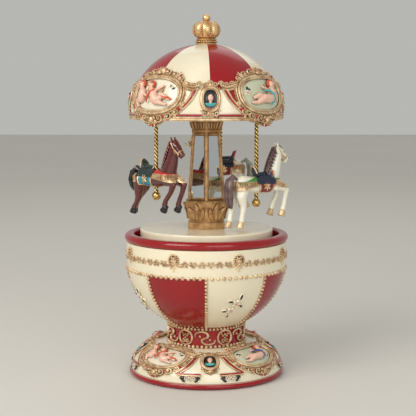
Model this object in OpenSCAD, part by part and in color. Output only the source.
// Carousel music box: a footed bowl that holds a wind-up movement, and a turning
// platform with a mirrored column, three horses on hanging poles and a domed canopy.
// Millimetres, +Z up, origin on the table under the axis, front towards -Y.

/* [Foot] */
// Radius of the red ring that stands on the table
base_r = 43.8; // [40:0.2:48]
// Height of the red base ring
base_h = 3; // [2:0.2:5]
// Height of the foot's skirt above the base ring
skirt_h = 14.6; // [12:0.2:18]
// Wall of the cast shells
wall = 3; // [2:0.25:4]

/* [Neck and bowl] */
// Radius of the neck between foot and bowl
neck_r = 21.4; // [19:0.2:26]
// Height of the neck
neck_h = 11.4; // [8:0.2:16]
// Largest radius of the bowl
bowl_r = 45; // [42:0.5:54]
// Height of the bowl's lower, rounded part if it went on to a point
bowl_round_h = 42.4; // [38:0.2:50]
// Height of the bowl's straight band
bowl_band_h = 8.8; // [6:0.2:14]
// Height of the red rim ring
rim_h = 4.6; // [4:0.2:8]
// Radial width of the red rim ring
rim_w = 5.2; // [4:0.2:7]

/* [Turning platform] */
// Gap between the platform and the rim ring
platform_gap = 3.4; // [1.5:0.1:6]
// Thickness of the platform
platform_t = 5.4; // [4:0.2:8]
// How far the platform stands above the rim ring
platform_rise = 2.6; // [1:0.1:4]

/* [Column] */
// Corner radius of the column's plinth
plinth_r = 11.8; // [9:0.2:14]
// Height of the plinth
plinth_h = 4.6; // [3:0.2:7]
// Height of the carved base over the plinth
carving_h = 11.4; // [7:0.2:14]
// Height of the mirrored shaft
shaft_h = 38; // [30:0.2:46]
// Corner radius of the shaft at its foot
shaft_foot_r = 11.9; // [10:0.1:14]
// Corner radius of the shaft at its top
shaft_top_r = 8.8; // [7:0.1:10]
// Height of the capital
capital_h = 10; // [7:0.2:12]
// Width of the frame beside each mirror
mirror_frame = 1.6; // [1:0.1:2.4]

/* [Canopy] */
// Radius of the dome at its springing
dome_r = 42; // [38:0.5:50]
// Rise of the dome above its springing
dome_h = 37; // [30:0.5:44]
// Depth of the straight valance under the springing
valance_h = 4; // [3:0.2:7]
// Wall of the dome
dome_wall = 2; // [1.6:0.1:3]
// How far the cast cartouches stand out of the dome
relief = 2.6; // [1.5:0.1:3.2]

/* [Horses] */
// Distance of the poles from the axis
pole_ring_r = 31.6; // [28:0.2:34]
// Radius of a pole
pole_r = 1.15; // [0.9:0.05:1.4]
// Height of the saddle over the platform, at the middle of the stroke
saddle_z = 36; // [34:0.2:44]
// Half of the rise and fall that the slanted disc gives the poles
stroke = 3.8; // [1:0.1:4.4]

/* [Movement] */
// Radius of the winding arbor
arbor_r = 2; // [1.5:0.1:2.4]
// Radius of the spring housing
barrel_r = 11.4; // [10:0.2:11.6]
// Height of the spring housing
barrel_h = 8; // [6:0.5:9]
// Radius of the pinned cylinder
drum_r = 6; // [5:0.1:6.4]
// Number of comb teeth
comb_teeth = 18; // [12:1:22]

/* [Hidden] */
$fn = 64;

fit = 0.05;                       // running clearance on a radius
thin = 0.3;                       // clearance between parts that must not rub
screw_r = 1;                      // radius of the small screws
steps = 28;                       // straight steps in each curved outline
turned = 3;                       // the foot's and canopy's castings are turned this far
panels = 8;                       // painted panels of the bowl and of the dome
step_a = 360 / panels;

red = "firebrick";
cream = "cornsilk";
gilt = "darkgoldenrod";
steel = "silver";
brass = "goldenrod";

// ---- heights, from the table up ----
felt_t = 1;
lift_off_table = 0.4;             // the red ring stops this far above the table
foot_z = lift_off_table + base_h;
neck_z = foot_z + skirt_h;
bowl_z = neck_z + neck_h;
bowl_mid_z = bowl_z + bowl_round_h * sqrt(1 - pow(neck_r / bowl_r, 2));
rim_z = bowl_mid_z + bowl_band_h;
rim_top = rim_z + rim_h;
platform_r = bowl_r + 1 - rim_w - platform_gap;
platform_top = rim_top + platform_rise;
platform_z = platform_top - platform_t;
plinth_top = platform_top + plinth_h;
shaft_z = plinth_top + carving_h;
capital_z = shaft_z + shaft_h;
floor_t = 2;
capital_top = capital_z + capital_h;
canopy_floor_z = capital_top - 1;
dome_z = canopy_floor_z + floor_t + 0.5;      // springing of the dome
valance_z = dome_z - valance_h;
dome_top = dome_z + dome_h;

// ---- movement: bedplate on bosses in the bowl, deck over it ----
inner_r = bowl_r - wall;
inner_h = bowl_round_h - wall;
floor_z = bowl_z + 4;                          // top of the bowl's flat floor
bed_t = 2;
bed_x = [-25, 27];
bed_y = [-17, 17];
bed_z = bowl_mid_z - inner_h * 0.59;
bed_top = bed_z + bed_t;
boss_at = [[-19, -13], [-19, 13], [18, -9], [8, 13]];
deck_t = 2;
gear_h = 2;
gear_z = platform_z - gear_h;                  // turntable gear, under the platform
deck_top = gear_z - 2;
deck_z = deck_top - deck_t;
ledge_w = 7.6;
ledge_h = 5;

gear_m = 0.5;                                  // module of the spur gears
table_teeth = 32;
pinion_teeth = 16;
arbor_at = [-(table_teeth + pinion_teeth) * gear_m / 2, 0];
face_teeth = 36;
face_r = 11;
drive_teeth = 10;
drive_r = face_r * drive_teeth / face_teeth; // pitch radius of the drum's pinion
wheel_teeth = 32;
gov_teeth = 10;
worm_teeth = 15;
worm_m = 0.4;
worm_r = 0.9;
face_tooth_h = 1.1;
wheel_z = bed_top + barrel_h + 0.5;            // underside of the great wheel
wheel_t = 1.5;
drum_z = wheel_z + wheel_t + face_tooth_h / 2 + drive_r + 0.1;
drum_x = [2.8, 22.8];
pin_h = 0.4;
bracket_t = 1.2;
gov_reach = (wheel_teeth + gov_teeth) * gear_m / 2;
gov_y = 9;
gov_z = drum_z - sqrt(gov_reach * gov_reach - gov_y * gov_y);
fan_x = 21;
fan_y = gov_y + worm_teeth * worm_m / 2 + worm_r + 0.45;

// ---- key, under the foot ----
key_z = 7;
key_wing_r = 5.4;
key_reach = 11.8;
key_hole_r = key_reach + 2.2;

// ---- lift disc and poles ----
pole_at = [-60, 60, 165];                      // where the poles hang, round from the front
horse_turn = [18, -30, 6];                     // how far each horse is turned off its round
horse_hind = [[-17, -26], [-13.5, -29], [-13.5, -29]]; // hind hooves, along and up
disc_r = pole_ring_r - 6.2;
high_at = 214.6;                               // where the slanted disc is highest
runner_r = disc_r + thin + 0.8;                // the runners' noses stand clear of the disc's rim
disc_t = 1.2;
disc_slope = stroke / runner_r;
disc_z = canopy_floor_z + floor_t + disc_r * disc_slope + 4;
post_r = 1.5;

function disc_rise(i) = stroke * cos(pole_at[i] - high_at);
function saddle_height(i) = platform_top + saddle_z + disc_rise(i) - 1.2;

// Points of a quarter ellipse from angle a0 to a1, about [cx, cz]
function arc_points(cx, cz, rx, rz, a0, a1) =
    [for (i = [0:steps]) let (a = a0 + (a1 - a0) * i / steps) [cx + rx * cos(a), cz + rz * sin(a)]];

module place(a, r = 0) {
    rotate([0, 0, a]) translate([0, -r, 0]) children();
}

module screw(head_r, head_h, r, length) {
    cylinder(r = head_r, h = head_h);
    translate([0, 0, -length]) cylinder(r = r, h = length + 0.01);
}

// Outline of a spur gear with one tooth centred on +X
module gear_outline(teeth, m) {
    pitch_r = teeth * m / 2;
    root_r = pitch_r - 1.15 * m;
    tip_r = pitch_r + 0.85 * m;
    p = 360 / teeth;
    polygon([for (i = [0:teeth - 1], q = [[-0.29, root_r], [-0.1, tip_r], [0.1, tip_r], [0.29, root_r]])
        q[1] * [cos((i + q[0]) * p), sin((i + q[0]) * p)]]);
}

module gear(teeth, m, h, bore) {
    difference() {
        linear_extrude(h) gear_outline(teeth, m);
        translate([0, 0, -1]) cylinder(r = bore, h = h + 2);
    }
}

// Oval outline standing in a vertical plane, wider at its shoulders than an ellipse
module oval_outline(rx, rz, power = 2.4) {
    polygon([for (i = [0:39]) let (a = i * 9, c = cos(a), s = sin(a))
        [rx * sign(c) * pow(abs(c), 2 / power), rz * sign(s) * pow(abs(s), 2 / power)]]);
}

// ---- foot ----
skirt_a = base_r - 1.2 - neck_r;   // the skirt is a quarter ellipse beside the neck
skirt_rise = skirt_h - 0.8;        // above a flat ledge of 0.8

module base_ring() color(red) translate([0, 0, lift_off_table]) rotate_extrude() {
    edge = base_h / 2;
    translate([base_r - edge, edge]) circle(r = edge);
    translate([base_r - 4.2, 0]) square([4.2 - edge, base_h]);
}

module bottom_cover() color("dimgray") difference() {
    translate([0, 0, felt_t]) cylinder(r = base_r - 4.2 - fit, h = foot_z - felt_t);
    translate([0, 0, felt_t + 1.4]) cylinder(r = base_r - 4.2 - 2.4, h = foot_z);
    translate([arbor_at.x, arbor_at.y, 0]) cylinder(r = key_hole_r, h = 10);
    for (a = [60, 180, 300]) place(a, cover_screw_r) cylinder(r = screw_r + 0.1, h = 10);
}

cover_screw_r = base_r - 9.6;
module cover_screws() color(steel) for (a = [60, 180, 300])
    place(a, cover_screw_r) translate([0, 0, felt_t]) mirror([0, 0, 1])
        screw(2, felt_t - 0.2, screw_r, 6);

module felt_pad() color("darkgreen") linear_extrude(felt_t) difference() {
    circle(r = base_r - 5);
    translate(arbor_at) circle(r = key_hole_r + 0.8);
    for (a = [60, 180, 300]) place(a, cover_screw_r) circle(r = 2.2);
}

module foot_outer() polygon(concat(
    [[0, foot_z], [base_r - 0.6, foot_z], [base_r - 0.6, foot_z + 0.8]],
    arc_points(neck_r, foot_z + 0.8, skirt_a, skirt_rise, 0, 90), [[0, neck_z]]));

module foot_inner() polygon(concat([[0, foot_z - 1]], [[base_r - 1.2 - wall, foot_z - 1]],
    arc_points(neck_r, foot_z + 0.8, skirt_a - wall, skirt_rise - wall, 0, 90),
    [[0, neck_z - wall]]));

module foot() color(cream) difference() {
    union() {
        rotate_extrude() difference() {
            foot_outer();
            foot_inner();
        }
        for (a = [60, 180, 300]) place(a, cover_screw_r) translate([0, 0, felt_t + 1.4])
            cylinder(r = 2.6, h = foot_z - felt_t - 1.4 + skirt_rise * 0.55);
    }
    for (a = [60, 180, 300]) place(a, cover_screw_r) cylinder(r = screw_r, h = felt_t + 6.2);
    for (a = [0, 120, 240]) place(a, neck_screw_r) cylinder(r = screw_r + 0.2, h = neck_z + 1);
    translate([0, 0, neck_z - wall - 1]) cylinder(r = neck_r - 5, h = wall + 2);
}

// A casting laid on the skirt: its outline is drawn in plan as a band between two angles
module on_skirt(half_a, r0, r1, depth) intersection() {
    rotate_extrude() difference() {
        polygon(concat([[neck_r, foot_z + 0.8], [neck_r + skirt_a + depth, foot_z + 0.8]],
            arc_points(neck_r, foot_z + 0.8, skirt_a + depth, skirt_rise + depth, 0, 90)));
        foot_outer();
    }
    linear_extrude(foot_z + skirt_h + depth + 1) polygon(concat(
        [for (i = [0:24]) let (t = -1 + i / 12, a = half_a * t, r = r0 + (r1 - r0) * 0.18 * t * t)
            r * [sin(a), -cos(a)]],
        [for (i = [0:24]) let (t = 1 - i / 12, a = half_a * t, r = r1 - (r1 - r0) * 0.30 * t * t)
            r * [sin(a), -cos(a)]]));
}

module foot_cartouches() color(gilt) for (i = [0:3])
    place(turned + 45 + 90 * i) on_skirt(21, neck_r + 4, base_r - 2.4, relief);

module foot_portraits() color(gilt) for (i = [0:3])
    place(turned + 90 * i) on_skirt(9, neck_r + 6.4, base_r - 3.4, relief);

// ---- neck ----
neck_screw_r = neck_r - 2.5;
module neck() color(red) difference() {
    translate([0, 0, neck_z]) cylinder(r = neck_r, h = neck_h);
    translate([0, 0, neck_z - 1]) cylinder(r = neck_r - 5, h = neck_h + 2);
    for (a = [0, 120, 240]) place(a, neck_screw_r)
        translate([0, 0, neck_z - 1]) cylinder(r = screw_r, h = neck_h + 2);
}

neck_scroll_t = 0.9;
module neck_scrolls() color(gilt) {
    for (z = [neck_z, bowl_z - 1.6]) translate([0, 0, z]) rotate_extrude()
        translate([neck_r, 0]) square([neck_scroll_t + 0.4, 1.6]);
    for (i = [0:11]) place(i * 30 + 15) intersection() {
        translate([0, 0, neck_z + 1.6]) rotate_extrude()
            translate([neck_r, 0]) square([neck_scroll_t, neck_h - 3.2]);
        translate([0, -neck_r - 2, neck_z + neck_h / 2]) rotate([-90, 0, 0]) difference() {
            cylinder(r = (neck_h - 3.2) / 2, h = 6);
            translate([0, 0, -1]) cylinder(r = (neck_h - 3.2) / 2 - 1.1, h = 8);
        }
    }
}

module neck_screws() color(steel) for (a = [0, 120, 240])
    place(a, neck_screw_r) translate([0, 0, neck_z - wall - 0.01]) mirror([0, 0, 1])
        screw(1.9, 1.2, screw_r, neck_h + wall + 2);

// ---- bowl ----
bowl_foot_a = acos(neck_r / bowl_r);
module bowl() color(cream) difference() {
    union() {
        rotate_extrude() difference() {
            polygon(concat([[0, bowl_z]],
                arc_points(0, bowl_mid_z, bowl_r, bowl_round_h, -bowl_foot_a, 0),
                [[bowl_r, rim_z], [0, rim_z]]));
            intersection() {
                polygon(concat(arc_points(0, bowl_mid_z, inner_r, inner_h, -90, 0),
                    [[inner_r, rim_z + 1], [0, rim_z + 1]]));
                translate([0, floor_z]) square([bowl_r, rim_z]);
            }
        }
        rotate_extrude() polygon([[inner_r + 0.4, deck_z - ledge_h - ledge_w], [inner_r + 0.4, deck_z],
            [inner_r - ledge_w, deck_z], [inner_r - ledge_w, deck_z - ledge_h]]);
        for (p = boss_at) translate([p.x, p.y, bowl_z + 2]) cylinder(r = 3, h = bed_z - bowl_z - 2);
    }
    for (p = boss_at) translate([p.x, p.y, bed_z - 7]) cylinder(r = screw_r, h = 8);
    for (a = [0, 120, 240]) place(a, deck_screw_r)
        translate([0, 0, deck_z - 4.5]) cylinder(r = screw_r, h = 8);
    for (a = [0, 120, 240]) place(a, neck_screw_r)
        translate([0, 0, bowl_z - 1]) cylinder(r = screw_r, h = 3.2);
    translate([arbor_at.x, arbor_at.y, bowl_z - 1]) cylinder(r = arbor_r + 0.6, h = 10);
}

// Red ring on the bowl's edge, rounded all round, with a spigot down inside the wall
module rim_ring() color(red) rotate_extrude() {
    half = rim_h / 2;
    translate([bowl_r + 1 - half, rim_z + half]) circle(r = half);
    translate([bowl_r + 1 - rim_w, rim_z]) square([rim_w - half, rim_h - 0.6]);
    translate([bowl_r + 1 - rim_w, deck_top])
        square([inner_r - bowl_r - 1 + rim_w - fit, rim_z - deck_top + 0.01]);
}

bead_r = 1.15;
bead_z = bowl_mid_z - 6;
function bowl_at(z) = bowl_r * sqrt(1 - pow((bowl_mid_z - z) / bowl_round_h, 2));

module bead_band() color(gilt) difference() {
    rotate_extrude() translate([bowl_at(bead_z), bead_z]) circle(r = bead_r);
    rotate_extrude() polygon(concat([[0, bowl_z]],
        arc_points(0, bowl_mid_z, bowl_r, bowl_round_h, -bowl_foot_a, 0), [[0, bowl_mid_z]]));
}

rib_w = 2;
module bead_ribs() color(gilt) intersection() {
    rotate_extrude() polygon(concat(
        arc_points(0, bowl_mid_z, bowl_r, bowl_round_h, -bowl_foot_a, 0),
        [for (i = [0:steps]) let (p = arc_points(0, bowl_mid_z, bowl_r + bead_r, bowl_round_h + bead_r,
            0, -bowl_foot_a)[i]) p]));
    for (i = [0:panels - 1]) place(i * step_a)
        translate([-rib_w / 2, -bowl_r - 5, bowl_z + 0.4])
            cube([rib_w, bowl_r, bead_z - bead_r - bowl_z - 0.6]);
}

garland_z = bowl_mid_z + 2;
garland_t = 1.1;
rosette_r = 3.9;
fine = 360;                       // sides of a round cut that leaves a thin wall
module garland() color(gilt) difference() {
    union() {
        translate([0, 0, garland_z - 1.4]) cylinder(r = bowl_r + garland_t - 0.4, h = 2.4, $fn = fine);
        for (i = [0:panels - 1]) place((i + 0.5) * step_a)
            translate([0, -bowl_r - garland_t, garland_z]) rotate([-90, 0, 0])
                cylinder(r = rosette_r, h = garland_t + 4);
    }
    translate([0, 0, garland_z - 10]) cylinder(r = bowl_r, h = 20, $fn = fine);
}

sprig_z = bowl_mid_z - 22;
module sprigs() color(gilt) for (i = [0:3]) place(90 * i + 22.5) intersection() {
    rotate_extrude() difference() {
        polygon(concat([[0, bowl_z]], arc_points(0, bowl_mid_z, bowl_r + 0.9, bowl_round_h + 0.9,
            -bowl_foot_a, 0), [[0, bowl_mid_z]]));
        polygon(concat([[0, bowl_z]], arc_points(0, bowl_mid_z, bowl_r, bowl_round_h,
            -bowl_foot_a, 0), [[0, bowl_mid_z]]));
    }
    translate([0, -bowl_r - 3, sprig_z]) rotate([-90, 0, 0]) rotate([0, 0, 35])
        linear_extrude(bowl_r) oval_outline(3, 6.5, 2);
}

// ---- deck and post ----
deck_screw_r = inner_r - 4.6;
module deck_plate() color("maroon") difference() {
    union() {
        translate([0, 0, deck_z]) cylinder(r = inner_r - fit, h = deck_t);
        translate([0, 0, deck_z]) cylinder(r = 4, h = gear_z - deck_z - 0.1);
        translate([arbor_at.x, arbor_at.y, deck_z - 2]) cylinder(r = 3.2, h = deck_t + 2.5);
    }
    translate([0, 0, deck_z + 0.6]) cylinder(r = post_r, h = 20);
    translate([arbor_at.x, arbor_at.y, deck_z - 5]) cylinder(r = post_r + fit, h = 20);
    for (a = [0, 120, 240]) place(a, deck_screw_r)
        translate([0, 0, deck_z - 1]) cylinder(r = screw_r + 0.1, h = 5);
}

module deck_screws() color(steel) for (a = [0, 120, 240])
    place(a, deck_screw_r) translate([0, 0, deck_top]) screw(1.9, 1, screw_r, 6);

post_top = disc_z + 4;
module centre_post() color(steel) translate([0, 0, deck_z + 0.6])
    cylinder(r = post_r, h = post_top - deck_z - 0.6);

// ---- movement ----
comb_w = drum_x[1] - drum_x[0] - 1;
comb_t = 0.6;
comb_back = 4.4;
tip_gap = 0.12;
tooth_tip_y = -(drum_r + pin_h + tip_gap);

module bedplate() color(brass) difference() {
    union() {
        translate([bed_x[0], bed_y[0], bed_z])
            cube([bed_x[1] - bed_x[0], bed_y[1] - bed_y[0], bed_t]);
        translate([drum_x[0], bed_y[0], bed_top - 0.01])
            cube([drum_x[1] - drum_x[0], comb_back, drum_z - comb_t / 2 - bed_top + 0.01]);
        for (x = [drum_x[0] - 0.6 - bracket_t, drum_x[1] + 2.2])
            translate([x, -3, bed_top - 0.01]) cube([bracket_t, 6, drum_z + 3 - bed_top]);
        translate([fan_x - 6, gov_y - 2, bed_top - 0.01]) cube([bracket_t, 4, gov_z + 2 - bed_top]);
        translate([drum_x[1] + 2.2, gov_y - 7, bed_top - 0.01]) cube([bracket_t, 9, gov_z + 2 - bed_top]);
        translate([fan_x - 2, fan_y - 1.6, bed_top - 0.01]) cube([4, 3.2, 1.2]);
        translate([fan_x - 6, fan_y - 1, bed_top - 0.01]) cube([2, 2, fan_top - bed_top + 0.8]);
        translate([fan_x - 6, fan_y - 1, fan_top - 0.6]) cube([7.4, 2, 1.4]);
    }
    translate([arbor_at.x, arbor_at.y, bed_z - 1]) cylinder(r = arbor_r + fit, h = bed_t + 2);
    translate([-10, 0, drum_z]) rotate([0, 90, 0]) cylinder(r = 1 + fit, h = 60);
    translate([fan_x - 9, gov_y, gov_z]) rotate([0, 90, 0]) cylinder(r = 0.7 + fit, h = 30);
    translate([fan_x, fan_y, bed_top - 0.8]) cylinder(r = 0.5 + fit, h = 4);
    translate([fan_x, fan_y, fan_top - 2]) cylinder(r = 0.5 + fit, h = 5);
    for (p = boss_at) translate([p.x, p.y, bed_z - 1]) cylinder(r = screw_r + 0.1, h = 5);
    for (x = comb_screw_x) translate([x, bed_y[0] + comb_back / 2, bed_top]) cylinder(r = 0.8, h = 30);
}

module bed_screws() color(steel) for (p = boss_at)
    translate([p.x, p.y, bed_top]) screw(1.9, 1, screw_r, 8);

comb_screw_x = [drum_x[0] + 4, drum_x[1] - 4];
module comb() color(steel) translate([0, 0, drum_z - comb_t / 2]) linear_extrude(comb_t) difference() {
    pitch = comb_w / comb_teeth;
    union() {
        translate([drum_x[0] + 0.5, bed_y[0]]) square([comb_w, comb_back]);
        for (i = [0:comb_teeth - 1])
            translate([drum_x[0] + 0.5 + (i + 0.2) * pitch, bed_y[0] + comb_back - 0.01])
            square([pitch * 0.6, tooth_tip_y - bed_y[0] - comb_back + 0.01]);
    }
    for (x = comb_screw_x) translate([x, bed_y[0] + comb_back / 2]) circle(r = 0.9);
}

module comb_screws() color(brass) for (x = comb_screw_x)
    translate([x, bed_y[0] + comb_back / 2, drum_z + comb_t / 2]) screw(1.5, 0.9, 0.8, 6);

module spring_housing() color(brass) translate([arbor_at.x, arbor_at.y, bed_top]) difference() {
    cylinder(r = barrel_r, h = barrel_h);
    translate([0, 0, -1]) cylinder(r = barrel_r - 0.8, h = barrel_h + 0.2);
    cylinder(r = arbor_r + 1, h = barrel_h + 1);
}

spring_turns = 6;
spring_t = 0.35;
module mainspring() color("slategray") translate([arbor_at.x, arbor_at.y, bed_top + 0.6])
linear_extrude(barrel_h - 2) {
    r0 = arbor_r + 0.4;
    r1 = barrel_r - 1.4;
    turn = function (t, off) (r0 + (r1 - r0) * t + off)
        * [cos(360 * spring_turns * t), sin(360 * spring_turns * t)];
    polygon(concat([for (i = [0:24 * spring_turns]) turn(i / (24 * spring_turns), 0)],
        [for (i = [24 * spring_turns:-1:0]) turn(i / (24 * spring_turns), spring_t)]));
}

// ---- winding key ----
module winding_key() color(brass) translate([arbor_at.x, arbor_at.y, 0]) difference() {
    union() {
        translate([0, 0, key_z + key_wing_r - 1]) cylinder(r = 3.2, h = 5);
        translate([-0.9, 0, key_z]) rotate([90, 0, 90]) linear_extrude(1.8) {
            for (s = [-1, 1]) translate([s * (key_reach - key_wing_r), 0]) circle(r = key_wing_r);
            translate([-key_reach + key_wing_r, -2.4]) square([2 * (key_reach - key_wing_r), 7.8]);
        }
    }
    for (s = [-1, 1]) translate([-2, s * (key_reach - key_wing_r), key_z]) rotate([0, 90, 0])
        cylinder(r = 2, h = 4);
    translate([0, 0, key_z + 3.2]) cylinder(r = arbor_r, h = 10);
}

module winding_arbor() color(steel) translate([arbor_at.x, arbor_at.y, key_z + 3.2]) {
    cylinder(r = arbor_r, h = bed_top + barrel_h - 0.4 - key_z - 3.2);
}

// Toothed clutch on the arbor's end: it turns the great wheel one way only
module ratchet_wheel() color(steel)
    translate([arbor_at.x, arbor_at.y, bed_top + barrel_h - 0.4])
        linear_extrude(wheel_z - bed_top - barrel_h + 0.2) gear_outline(12, 0.4);

// ---- great wheel and output shaft ----
module great_wheel() color(brass) translate([arbor_at.x, arbor_at.y, wheel_z]) difference() {
    union() {
        cylinder(r = face_r + 1.3, h = wheel_t);
        for (i = [0:face_teeth - 1]) rotate([0, 0, (i + 0.5) * 360 / face_teeth])
            translate([face_r - 1.1, -0.27, wheel_t - 0.01]) cube([2.2, 0.54, face_tooth_h + 0.01]);
    }
    translate([0, 0, -1]) cylinder(r = post_r, h = 5);
}

module output_shaft() color(steel) translate([arbor_at.x, arbor_at.y, wheel_z]) {
    cylinder(r = post_r, h = gear_z + gear_h - wheel_z - 0.2);
    translate([0, 0, gear_z - wheel_z]) rotate([0, 0, 180 / pinion_teeth])
        linear_extrude(gear_h - 0.2) gear_outline(pinion_teeth, gear_m);
}

// ---- pinned cylinder ----
module along_x(x, z) translate([x, 0, z]) rotate([0, 90, 0]) children();

module pinned_cylinder() color(brass) difference() {
    union() {
        along_x(drum_x[0], drum_z) cylinder(r = drum_r, h = drum_x[1] - drum_x[0]);
        for (i = [0:comb_teeth - 1], k = [0:2]) {
            pitch = comb_w / comb_teeth;
            a = k * 120 + (i * i * 29 + i * 71) % 97;
            translate([drum_x[0] + 0.5 + (i + 0.5) * pitch, 0, drum_z]) rotate([a, 0, 0])
                translate([0, 0, drum_r - 0.2]) cylinder(r = 0.18, h = pin_h + 0.2, $fn = 13);
        }
    }
    along_x(drum_x[0] - 1, drum_z) cylinder(r = 1, h = 30);
}

module cylinder_arbor() color(steel) {
    along_x(-2.6, drum_z) cylinder(r = 1, h = drum_x[1] + 4.2 + 2.6);
    along_x(-1.8, drum_z) linear_extrude(1.6) gear_outline(drive_teeth, 2 * drive_r / drive_teeth);
}

module cylinder_wheel() color(brass) along_x(drum_x[1] + 0.5, drum_z)
    rotate([0, 0, gov_tilt]) gear(wheel_teeth, gear_m, 1, 1);

// ---- governor ----
// Turned about +X, the +X tooth of a wheel points down; the tilt brings it to the pinion
gov_tilt = asin(gov_y / gov_reach);

module governor_wheel() color(brass) {
    translate([0, gov_y, gov_z]) {
        along_x(fan_x - 7, 0) cylinder(r = 0.7, h = drum_x[1] + 4.2 - fan_x + 7);
        along_x(drum_x[1] + 0.5, 0) rotate([0, 0, gov_tilt + 180 / gov_teeth])
            gear(gov_teeth, gear_m, 1, 0.5);
        along_x(fan_x - 0.4, 0) gear(worm_teeth, worm_m, 0.8, 0.5);
    }
}

fan_top = deck_z - ledge_h - 0.5;
module governor_fan() color(steel) translate([fan_x, fan_y, 0]) {
    translate([0, 0, bed_top + 0.2]) cylinder(r = 0.5, h = fan_top - bed_top - 0.2);
    translate([0, 0, bed_top - 0.7]) cylinder(r = 0.5, h = 1);
    translate([0, 0, gov_z - 2.6]) cylinder(r = worm_r, h = 5.2);
    translate([-3, -0.2, fan_top - 6]) cube([6, 0.4, 5]);
}

// ---- turntable ----
edge_r = 0.8;
module turntable() color(cream) translate([0, 0, platform_z]) rotate_extrude() {
    translate([post_r + 0.1, 0]) square([platform_r - edge_r - post_r - 0.1, platform_t]);
    square_r = platform_r - edge_r - 1;
    translate([square_r, 0]) square([1 + edge_r, platform_t - edge_r]);
    translate([platform_r - edge_r, platform_t - edge_r]) circle(r = edge_r);
}

module turntable_gear() color(brass) translate([0, 0, gear_z])
    gear(table_teeth, gear_m, gear_h, post_r + fit);

module hex(r0, r1, h) cylinder(r1 = r0, r2 = r1, h = h, $fn = 6);

function shaft_at(h) = shaft_foot_r + (shaft_top_r - shaft_foot_r) * h / shaft_h;
core_r = 3;

module column() color(gilt) difference() {
    rotate([0, 0, 30]) {
        translate([0, 0, platform_top]) hex(plinth_r, plinth_r, plinth_h - 0.8);
        translate([0, 0, plinth_top - 0.8]) hex(plinth_r - 0.6, plinth_r - 0.6, 0.81);
        translate([0, 0, plinth_top]) hex(plinth_r - 0.8, shaft_foot_r + 1.9, carving_h - 1.2);
        translate([0, 0, shaft_z - 1.2]) hex(shaft_foot_r + 1.9, shaft_foot_r, 1.21);
        translate([0, 0, shaft_z]) hex(shaft_foot_r, shaft_top_r, shaft_h);
    }
    translate([0, 0, platform_top - 1]) cylinder(r = core_r, h = capital_z);
    for (i = [0:5]) place(30 + 60 * i) on_face() translate([0, 0, -mirror_t])
        linear_extrude(4) mirror_outline(fit);
}

// A frame standing on the tilted face of the shaft: x across, y up the face, z out of it
face_tilt = atan((shaft_foot_r - shaft_top_r) * cos(30) / shaft_h);
mirror_t = 0.7;
mirror_z = [1.6, shaft_h - 2.2];
module on_face() translate([0, -shaft_foot_r * cos(30), shaft_z])
    rotate([90 - face_tilt, 0, 0]) children();

module mirror_outline(grow) {
    lo = shaft_at(mirror_z[0]) / 2 - mirror_frame + grow;
    hi = shaft_at(mirror_z[1]) / 2 - mirror_frame + grow;
    polygon([[-lo, mirror_z[0] - grow], [lo, mirror_z[0] - grow],
        [hi, mirror_z[1] + grow], [-hi, mirror_z[1] + grow]]);
}

module mirrors() color("lightsteelblue") for (i = [0:5]) place(30 + 60 * i) on_face()
    translate([0, 0, -mirror_t]) linear_extrude(mirror_t - 0.3) mirror_outline(0);

module capital() color(gilt) difference() {
    rotate([0, 0, 30]) translate([0, 0, capital_z]) {
        hex(shaft_top_r + 0.3, shaft_top_r + 0.3, 1);
        translate([0, 0, 1]) hex(shaft_top_r, shaft_top_r + 2.6, capital_h - 3.4);
        translate([0, 0, capital_h - 2.4]) hex(shaft_top_r + 2.8, shaft_top_r + 2.8, 1.4);
    }
    translate([0, 0, capital_z - 1]) cylinder(r = core_r, h = capital_h + 2);
}

// ---- canopy ----
floor_r = dome_r - dome_wall - fit;
module canopy_floor() color(cream) difference() {
    translate([0, 0, canopy_floor_z]) cylinder(r = floor_r, h = floor_t);
    translate([0, 0, canopy_floor_z - 1]) cylinder(r = core_r, h = floor_t + 2);
    for (a = pole_at) place(a, pole_ring_r) translate([0, 0, canopy_floor_z - 1])
        cylinder(r = bush_r, h = floor_t + 2);
}

bush_r = pole_r + 0.9;
module pole_bushes() color(brass) for (a = pole_at) place(a, pole_ring_r) difference() {
    union() {
        translate([0, 0, canopy_floor_z]) cylinder(r = bush_r, h = floor_t);
        translate([0, 0, canopy_floor_z - 0.6]) cylinder(r = bush_r + 0.7, h = 0.6);
    }
    translate([0, 0, canopy_floor_z - 1]) cylinder(r = pole_r + fit, h = floor_t + 2);
}

function dome_outline(grow, low) = concat([[0, low], [dome_r + grow, low]],
    arc_points(0, dome_z, dome_r + grow, dome_h + grow, 0, 90));

crown_spigot_r = 2.4;
module canopy_dome() color(red) difference() {
    rotate_extrude() difference() {
        polygon(dome_outline(0, valance_z));
        polygon(dome_outline(-dome_wall, valance_z - 1));
    }
    translate([0, 0, dome_top - 8]) cylinder(r = crown_spigot_r + fit, h = 10);
}

module canopy_edge() color(gilt) difference() {
    rotate_extrude() {
        translate([dome_r, valance_z - 0.6]) square([1.3, 2.4]);
        translate([dome_r - dome_wall, valance_z - 0.6]) square([dome_wall + 0.1, 0.6]);
    }
    for (i = [0:3]) {
        place(turned + 45 + 90 * i) radial_prism(-4) oval_outline(cartouche_w / 2, 30);
        place(turned + 90 * i) radial_prism(-4) oval_outline(portrait_w / 2, 30);
    }
}

module radial_prism(z) translate([0, -dome_r - 8, dome_z + z]) rotate([-90, 0, 0])
    linear_extrude(dome_r) mirror([0, 1]) children();

module on_dome(grow, low) intersection() {
    rotate_extrude() difference() {
        polygon(dome_outline(grow, low));
        polygon(concat([[0, low - 1], [dome_r, low - 1]],
            arc_points(0, dome_z, dome_r, dome_h, 0, 90)));
    }
    children();
}

cartouche_w = 38.6;
cartouche_z = [-8, 24.8];          // lowest and highest point, from the springing
portrait_w = 12;
portrait_z = [-5.2, 17.4];

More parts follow.
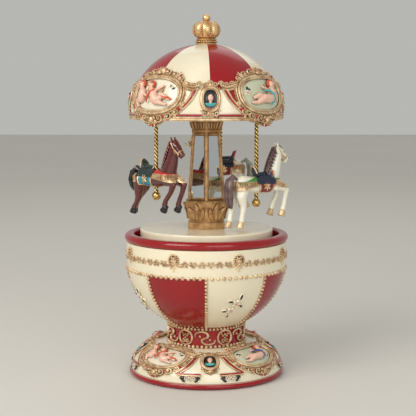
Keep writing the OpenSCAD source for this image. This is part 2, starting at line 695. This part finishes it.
module canopy_cartouches() color(gilt) for (i = [0:3])
    place(turned + 45 + 90 * i) on_dome(relief, dome_z + cartouche_z[0])
        radial_prism((cartouche_z[0] + cartouche_z[1]) / 2)
            oval_outline(cartouche_w / 2, (cartouche_z[1] - cartouche_z[0]) / 2);

module canopy_portraits() color(gilt) for (i = [0:3])
    place(turned + 90 * i) on_dome(relief, dome_z + portrait_z[0])
        radial_prism((portrait_z[0] + portrait_z[1]) / 2)
            oval_outline(portrait_w / 2, (portrait_z[1] - portrait_z[0]) / 2, 2.1);

crown_h = 16.4;
crown_r0 = 5.9;
module crown() color(gilt) {
    translate([0, 0, dome_top - 6]) cylinder(r = crown_spigot_r, h = 6.5);
    rotate_extrude() difference() {
        translate([0, dome_top]) polygon(concat(
            [[0, -1.1], [crown_r0, -1.1], [crown_r0 + 0.3, 0.4], [crown_r0 - 0.4, 1.2],
             [crown_r0 - 0.4, 2.4], [crown_r0 + 0.1, 3.4], [crown_r0 - 0.3, 4]],
            [for (i = [0:12]) let (a = -55 + i * 11) [4.6 + 3.1 * cos(a), 7.6 + 3.9 * sin(a)]],
            [[1.2, crown_h - 4], [0, crown_h - 4]]));
        polygon(dome_outline(0, dome_z));
    }
    translate([0, 0, dome_top + crown_h - 2.3]) sphere(r = 2.3);
}

// ---- lift mechanism ----
module lift_disc() color(steel) translate([0, 0, disc_z]) difference() {
    union() {
        rotate([0, 0, high_at - 90]) rotate([0, -atan(disc_slope), 0]) translate([0, 0, -disc_t])
            cylinder(r = disc_r, h = disc_t);
        translate([0, 0, -3]) cylinder(r = 4, h = 5);
    }
    translate([0, 0, -10]) cylinder(r = post_r, h = 20);
}

runner_h = 3;
function runner_z(i) = disc_z + disc_rise(i) + fit;

// Arm on top of a pole, with a round nose that rests on the slanted disc
module runner(i) place(pole_at[i]) {
    nose_r = 0.8;
    z = runner_z(i) + nose_r / cos(atan(disc_slope)) + 0.25;
    translate([-1.2, -runner_r, z]) rotate([0, 90, 0]) cylinder(r = nose_r, h = 2.4);
    difference() {
        translate([-1.2, -pole_ring_r - 1.9, z])
            cube([2.4, pole_ring_r - runner_r + 1.9, runner_h - 1]);
        translate([0, -pole_ring_r, z - 1]) cylinder(r = pole_r, h = 3.5);
    }
}

module pole(i) place(pole_at[i], pole_ring_r) {
    low = saddle_height(i) - 15;
    translate([0, 0, low]) cylinder(r = pole_r, h = runner_z(i) + 3 - low);
}

ball_r = 2.4;
module ball(i) place(pole_at[i], pole_ring_r) translate([0, 0, saddle_height(i) - 15.8]) difference() {
    sphere(r = ball_r);
    translate([0, 0, 0.8]) cylinder(r = pole_r, h = 5);
}

// ---- horse: along x, up z, across y, with the pole at x = 0 and the saddle at z = 0 ----
module limb(points) for (i = [0:len(points) - 2]) hull() for (p = [points[i], points[i + 1]])
    translate([p[0], p[1], p[2]]) sphere(r = p[3], $fn = 10);

module horse(i) {
    hind = horse_hind[i];
    place(pole_at[i], pole_ring_r) translate([0, 0, saddle_height(i)])
    rotate([0, 0, horse_turn[i]]) difference() {
        union() {
            limb([[-9, 0, -5.6, 4.9], [0, 0, -6.3, 5.1], [9.5, 0, -4.8, 4.9]]);
            limb([[10.5, 0, -2.5, 4.4], [13, 0, 6, 2.9], [13.8, 0, 12.6, 2.5]]);
            limb([[14, 0, 13, 2.6], [20.4, 0, 7, 1.8]]);
            for (s = [-1, 1]) {
                reach = s < 0 ? [18.6, 15.4] : [16.2, 11.6];
                limb([[11, 3 * s, -7.2, 2.7], [reach[0], 3.2 * s, -8.8, 1.7],
                    [reach[1], 3.2 * s, -22, 1.9]]);
                limb([[-10.5, 2.8 * s, -7.5, 3.5], [hind[0] + 2.6 + s, 3.2 * s, hind[1] + 12, 1.8],
                    [hind[0] + 1.4 * s, 3.2 * s, hind[1] + 1.9, 1.9]]);
            }
            limb([[-13.2, 0, -2.6, 1.4], [-17.6, 0, -4.5, 2], [-18.6, 0, -14, 1.5]]);
        }
        translate([0, 0, -30]) cylinder(r = pole_r + fit, h = 60);
    }
}

module brown_horse() color("saddlebrown") horse(0);
module brown_pole() color(brass) pole(0);
module brown_ball() color(brass) ball(0);
module brown_runner() color(steel) runner(0);
module white_horse() color("ivory") horse(1);
module white_pole() color(brass) pole(1);
module white_ball() color(brass) ball(1);
module white_runner() color(steel) runner(1);
module grey_horse() color("gainsboro") horse(2);
module grey_pole() color(brass) pole(2);
module grey_ball() color(brass) ball(2);
module grey_runner() color(steel) runner(2);

base_ring();
bottom_cover();
cover_screws();
felt_pad();
foot();
foot_cartouches();
foot_portraits();
neck();
neck_scrolls();
neck_screws();
bowl();
rim_ring();
bead_band();
bead_ribs();
garland();
sprigs();
deck_plate();
deck_screws();
centre_post();
bedplate();
bed_screws();
spring_housing();
mainspring();
comb();
comb_screws();
winding_key();
winding_arbor();
ratchet_wheel();
great_wheel();
output_shaft();
pinned_cylinder();
cylinder_arbor();
cylinder_wheel();
governor_wheel();
governor_fan();
turntable();
turntable_gear();
column();
mirrors();
capital();
canopy_floor();
canopy_dome();
canopy_edge();
canopy_cartouches();
canopy_portraits();
crown();
lift_disc();
pole_bushes();
brown_horse();
brown_pole();
brown_ball();
brown_runner();
white_horse();
white_pole();
white_ball();
white_runner();
grey_horse();
grey_pole();
grey_ball();
grey_runner();
